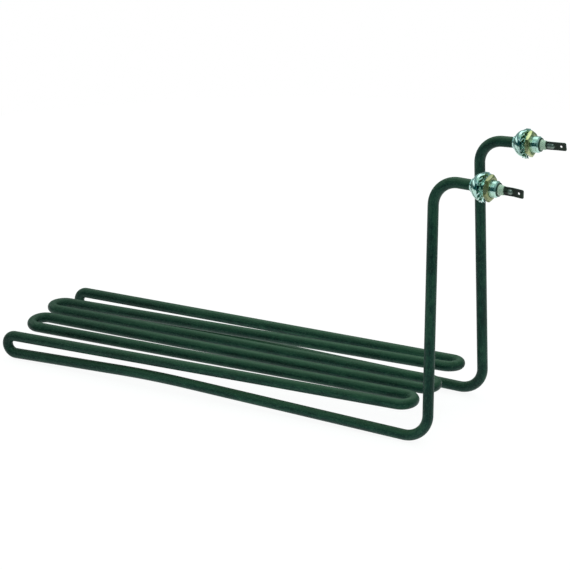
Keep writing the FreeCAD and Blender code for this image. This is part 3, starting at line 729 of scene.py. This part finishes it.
def tabSheet():
    # loops from the hole's circle, share 0, to the outline, share 1, on one face, over the rim and
    # back on the other: circle + (outline - circle) share + ray inset; fromEdge is the way to the
    # nearer of the two
    outline = tabOutline()
    hole = np.array([tab["shoulder"] + tab["blade"] - tab["holeInset"], 0])
    ray = outline - hole
    ray /= np.linalg.norm(ray, axis=1)[:, None]
    circle = hole + ray * tab["hole"] / 2
    half, edge = tab["thickness"] / 2, tab["edge"]
    share = np.linspace(0, 1, tab["rows"])
    inset = np.zeros(tab["rows"])
    inset[0], inset[-1] = edge, -edge
    faceRows = list(zip(share, inset, [-half] * len(share)))
    rim = [(1, 0, -half + edge), (1, 0, half - edge)]
    backRows = [(*row[:2], half) for row in faceRows[::-1]]
    mouth = [(0, 0, half - edge), (0, 0, -half + edge)]
    share, inset, y = np.array(faceRows + rim + backRows + mouth).T[..., None]
    flat = circle + (outline - circle) * share[..., None] + ray * inset[..., None]
    fromEdge = np.minimum(share, 1 - share) * np.linalg.norm(outline - circle, axis=1)
    return flat[..., 0], flat[..., 1], y, fromEdge


def spadeTab(name):
    # the saddle presses the sheet to -Y by depth cos(pi/2 min(1, r / foot))^fullness of the
    # distance r from the pin's axis or its end
    x, z, y, fromEdge = tabSheet()
    inside = pinRadius + tab["saddleGap"]
    grip = tab["saddleReach"] - inside - tab["thickness"]
    fromPin = np.hypot(z, np.maximum(0, x - grip))
    press = np.cos(np.pi / 2 * np.minimum(1, fromPin / tab["saddleFoot"])) ** tab["saddleFullness"]
    y = y - (inside + tab["thickness"] / 2) * press
    # bare metal, also a painted highlight: whole on the end of the saddle, and falling by
    # exp(-distance) from the nearest edge
    pressed = smoothStep(press / tab["rubbedHighlightPress"])
    pressed = pressed * smoothStep((x - terminals[name]["rubbedHighlightFrom"]) / tab["rubbedHighlightFade"])
    rubbed = np.maximum(tab["rubbedHighlightMost"] * np.exp(-fromEdge / tab["rubbedHighlightEdge"]), pressed)
    # the blade beyond the shoulder swings about the vertical
    past = x - tab["shoulder"]
    swing = np.radians(terminals[name]["bladeBend"]) * smoothStep(past / tab["bendLength"] + 0.5)
    bent = np.stack([tab["shoulder"] + past * np.cos(swing) - y * np.sin(swing),
                     past * np.sin(swing) + y * np.cos(swing), z], -1)
    start = bush["length"] + seal["lip"] + bead["length"]
    place = onTerminal(name, bent, start, terminals[name]["tabRoll"])
    addPiece(name + "SpadeTab", [place], tabSteel, name + "_spade_tab", rubbed=rubbed)


for name in terminals:
    threadedBush(name)
    lockWasher(name)
    hexNut(name)
    endSeal(name)
    ceramicBead(name)
    spadeTab(name)

# the pins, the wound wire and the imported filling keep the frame's own shapes
for node, material in (("front_cold_pin", pinSteel), ("rear_cold_pin", pinSteel),
                       ("resistance_coil", coilWire), ("magnesia_filling", powder)):
    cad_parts[node].data.materials.clear()
    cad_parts[node].data.materials.append(material)
print("pieces made")


# Floor, light and camera; lengths here are in metres

studio = {
    "floorRadius": 0.75, "floorBelow": 0.0004, "floorSides": 96,
    "floorColour": "#5c5e5d", "floorGlow": 0.92,
    "darkSide": (-0.25, -0.97, 0.0), "darkRange": (-0.1, 0.4, 0.0, 1.0),
    "darkBands": [(0.0, "#174a4e"), (0.50, "#174a4e"), (0.57, "#2f6470"), (0.62, "#ecf8fa"),
                  (0.67, "#ecf8fa"), (0.71, "#6f9ba2"), (0.84, "#7fa9ab"), (0.90, "#d9f2e4")],
    "greyBands": [(0.0, "#8fa3a2"), (0.60, "#a9bbb8"), (0.82, "#e8f6ee")],
}
softboxes = {
    "frontSoftbox": {
        "azimuth": 28, "elevation": 56, "distance": 1.5, "aim": (0.1, 0, 0.12), "size": (1.4, 0.9),
        "power": 6,
    },
    "rearSoftbox": {
        "azimuth": 200, "elevation": 55, "distance": 1.6, "aim": (0.1, 0, 0.12), "size": (1.8, 1.2),
        "power": 8,
    },
    "leftSoftbox": {
        "azimuth": -80, "elevation": 14, "distance": 1.2, "aim": (0.17, 0, 0.2), "size": (1.5, 0.3),
        "power": 1.9,
    },
}
camera = {
    "azimuth": 27.986, "elevation": 21.046, "roll": -0.581, "distance": 1.97667, "across": 0.00694,
    "above": 0.07562, "focalLength": 163.7, "sensorWidth": 36, "clipEnd": 20,
}


def addFloor():
    # a round white board: radius times (cos, sin) of the angle
    angle = np.linspace(0, 2 * np.pi, studio["floorSides"], endpoint=False)
    rim = np.stack([np.cos(angle), np.sin(angle), 0 * angle], -1) * studio["floorRadius"]
    rim[:, 2] = -studio["floorBelow"]
    mesh = bpy.data.meshes.new("paleFloor")
    mesh.from_pydata(rim.tolist(), [], [list(range(len(rim)))])
    material, tree, shader = startMaterial("matt white board")
    feed(tree, shader, {
        "Base Color": hexColour(studio["floorColour"]), "Roughness": 0.9, "Specular IOR Level": 0.1,
        "Emission Color": hexColour("#ffffff"), "Emission Strength": studio["floorGlow"],
    })
    mesh.materials.append(material)
    floor = bpy.data.objects.new("paleFloor", mesh)
    bpy.context.scene.collection.objects.link(floor)


def addWorld():
    # white for the camera; the object is lit by a room with a bright ceiling, whose walls are dark
    # blue-green with one bright band in front and grey behind
    world = bpy.data.worlds.new("studio")
    bpy.context.scene.world = world
    world.use_nodes = True
    tree = world.node_tree
    tree.nodes.clear()
    way = addNode(tree, "ShaderNodeTexCoord", {}, {}).outputs["Generated"]
    rise = addNode(tree, "ShaderNodeSeparateXYZ", {}, [way]).outputs["Z"]
    dark = addNode(tree, "ShaderNodeValToRGB", {"ramp": studio["darkBands"]}, [rise])
    grey = addNode(tree, "ShaderNodeValToRGB", {"ramp": studio["greyBands"]}, [rise])
    dot = {"operation": "DOT_PRODUCT"}
    nearness = addNode(tree, "ShaderNodeVectorMath", dot, [way, studio["darkSide"]])
    share = addNode(tree, "ShaderNodeMapRange", {}, [nearness, *studio["darkRange"]])
    links = {"Factor": share, "A": grey, "B": dark}
    shade = addNode(tree, "ShaderNodeMix", {"data_type": "RGBA"}, links)
    room = addNode(tree, "ShaderNodeBackground", {}, {"Color": shade, "Strength": 1.0})
    paper = addNode(tree, "ShaderNodeBackground", {}, {"Color": (1, 1, 1, 1), "Strength": 1.0})
    seen = addNode(tree, "ShaderNodeLightPath", {}, {}).outputs["Is Camera Ray"]
    mix = addNode(tree, "ShaderNodeMixShader", {}, [seen, room, paper])
    addNode(tree, "ShaderNodeOutputWorld", {}, {"Surface": mix})


def direction(azimuth, elevation):
    # (sin a cos e, -cos a cos e, sin e): azimuth 0 looks from -Y, and 90 from +X
    a, e = math.radians(azimuth), math.radians(elevation)
    return np.array([math.sin(a) * math.cos(e), -math.cos(a) * math.cos(e), math.sin(e)])


def facing(back, place, roll=0.0):
    # columns are right, up and back; right is level before the roll
    right = np.cross([0, 0, 1], back)
    right /= np.linalg.norm(right)
    up = np.cross(back, right)
    cosine, sine = math.cos(math.radians(roll)), math.sin(math.radians(roll))
    matrix = np.eye(4)
    matrix[:3, :3] = np.stack([cosine * right + sine * up, cosine * up - sine * right, back], 1)
    matrix[:3, 3] = place
    return Matrix(matrix.tolist())


def addSoftbox(name, box):
    # an area light on a sphere about its aim, facing it
    data = bpy.data.lights.new(name, "AREA")
    data.shape = "RECTANGLE"
    data.size, data.size_y = box["size"]
    data.energy = box["power"]
    light = bpy.data.objects.new(name, data)
    bpy.context.scene.collection.objects.link(light)
    away = direction(box["azimuth"], box["elevation"])
    light.matrix_world = facing(away, np.array(box["aim"]) + away * box["distance"])
    light.visible_camera = False


def addCamera():
    # the place is distance back from the origin, then across and above in the picture's own axes
    data = bpy.data.cameras.new("camera")
    data.lens = camera["focalLength"]
    data.sensor_width = camera["sensorWidth"]
    data.clip_end = camera["clipEnd"]
    seen = bpy.data.objects.new("camera", data)
    bpy.context.scene.collection.objects.link(seen)
    back = direction(camera["azimuth"], camera["elevation"])
    turned = np.array(facing(back, np.zeros(3), camera["roll"]))[:3, :3]
    place = turned @ np.array([camera["across"], camera["above"], camera["distance"]])
    seen.matrix_world = facing(back, place, camera["roll"])
    bpy.context.scene.camera = seen


addFloor()
addWorld()
for name, box in softboxes.items():
    addSoftbox(name, box)
addCamera()
bpy.context.scene.view_settings.view_transform = "Standard"
print("stage, light and camera set")
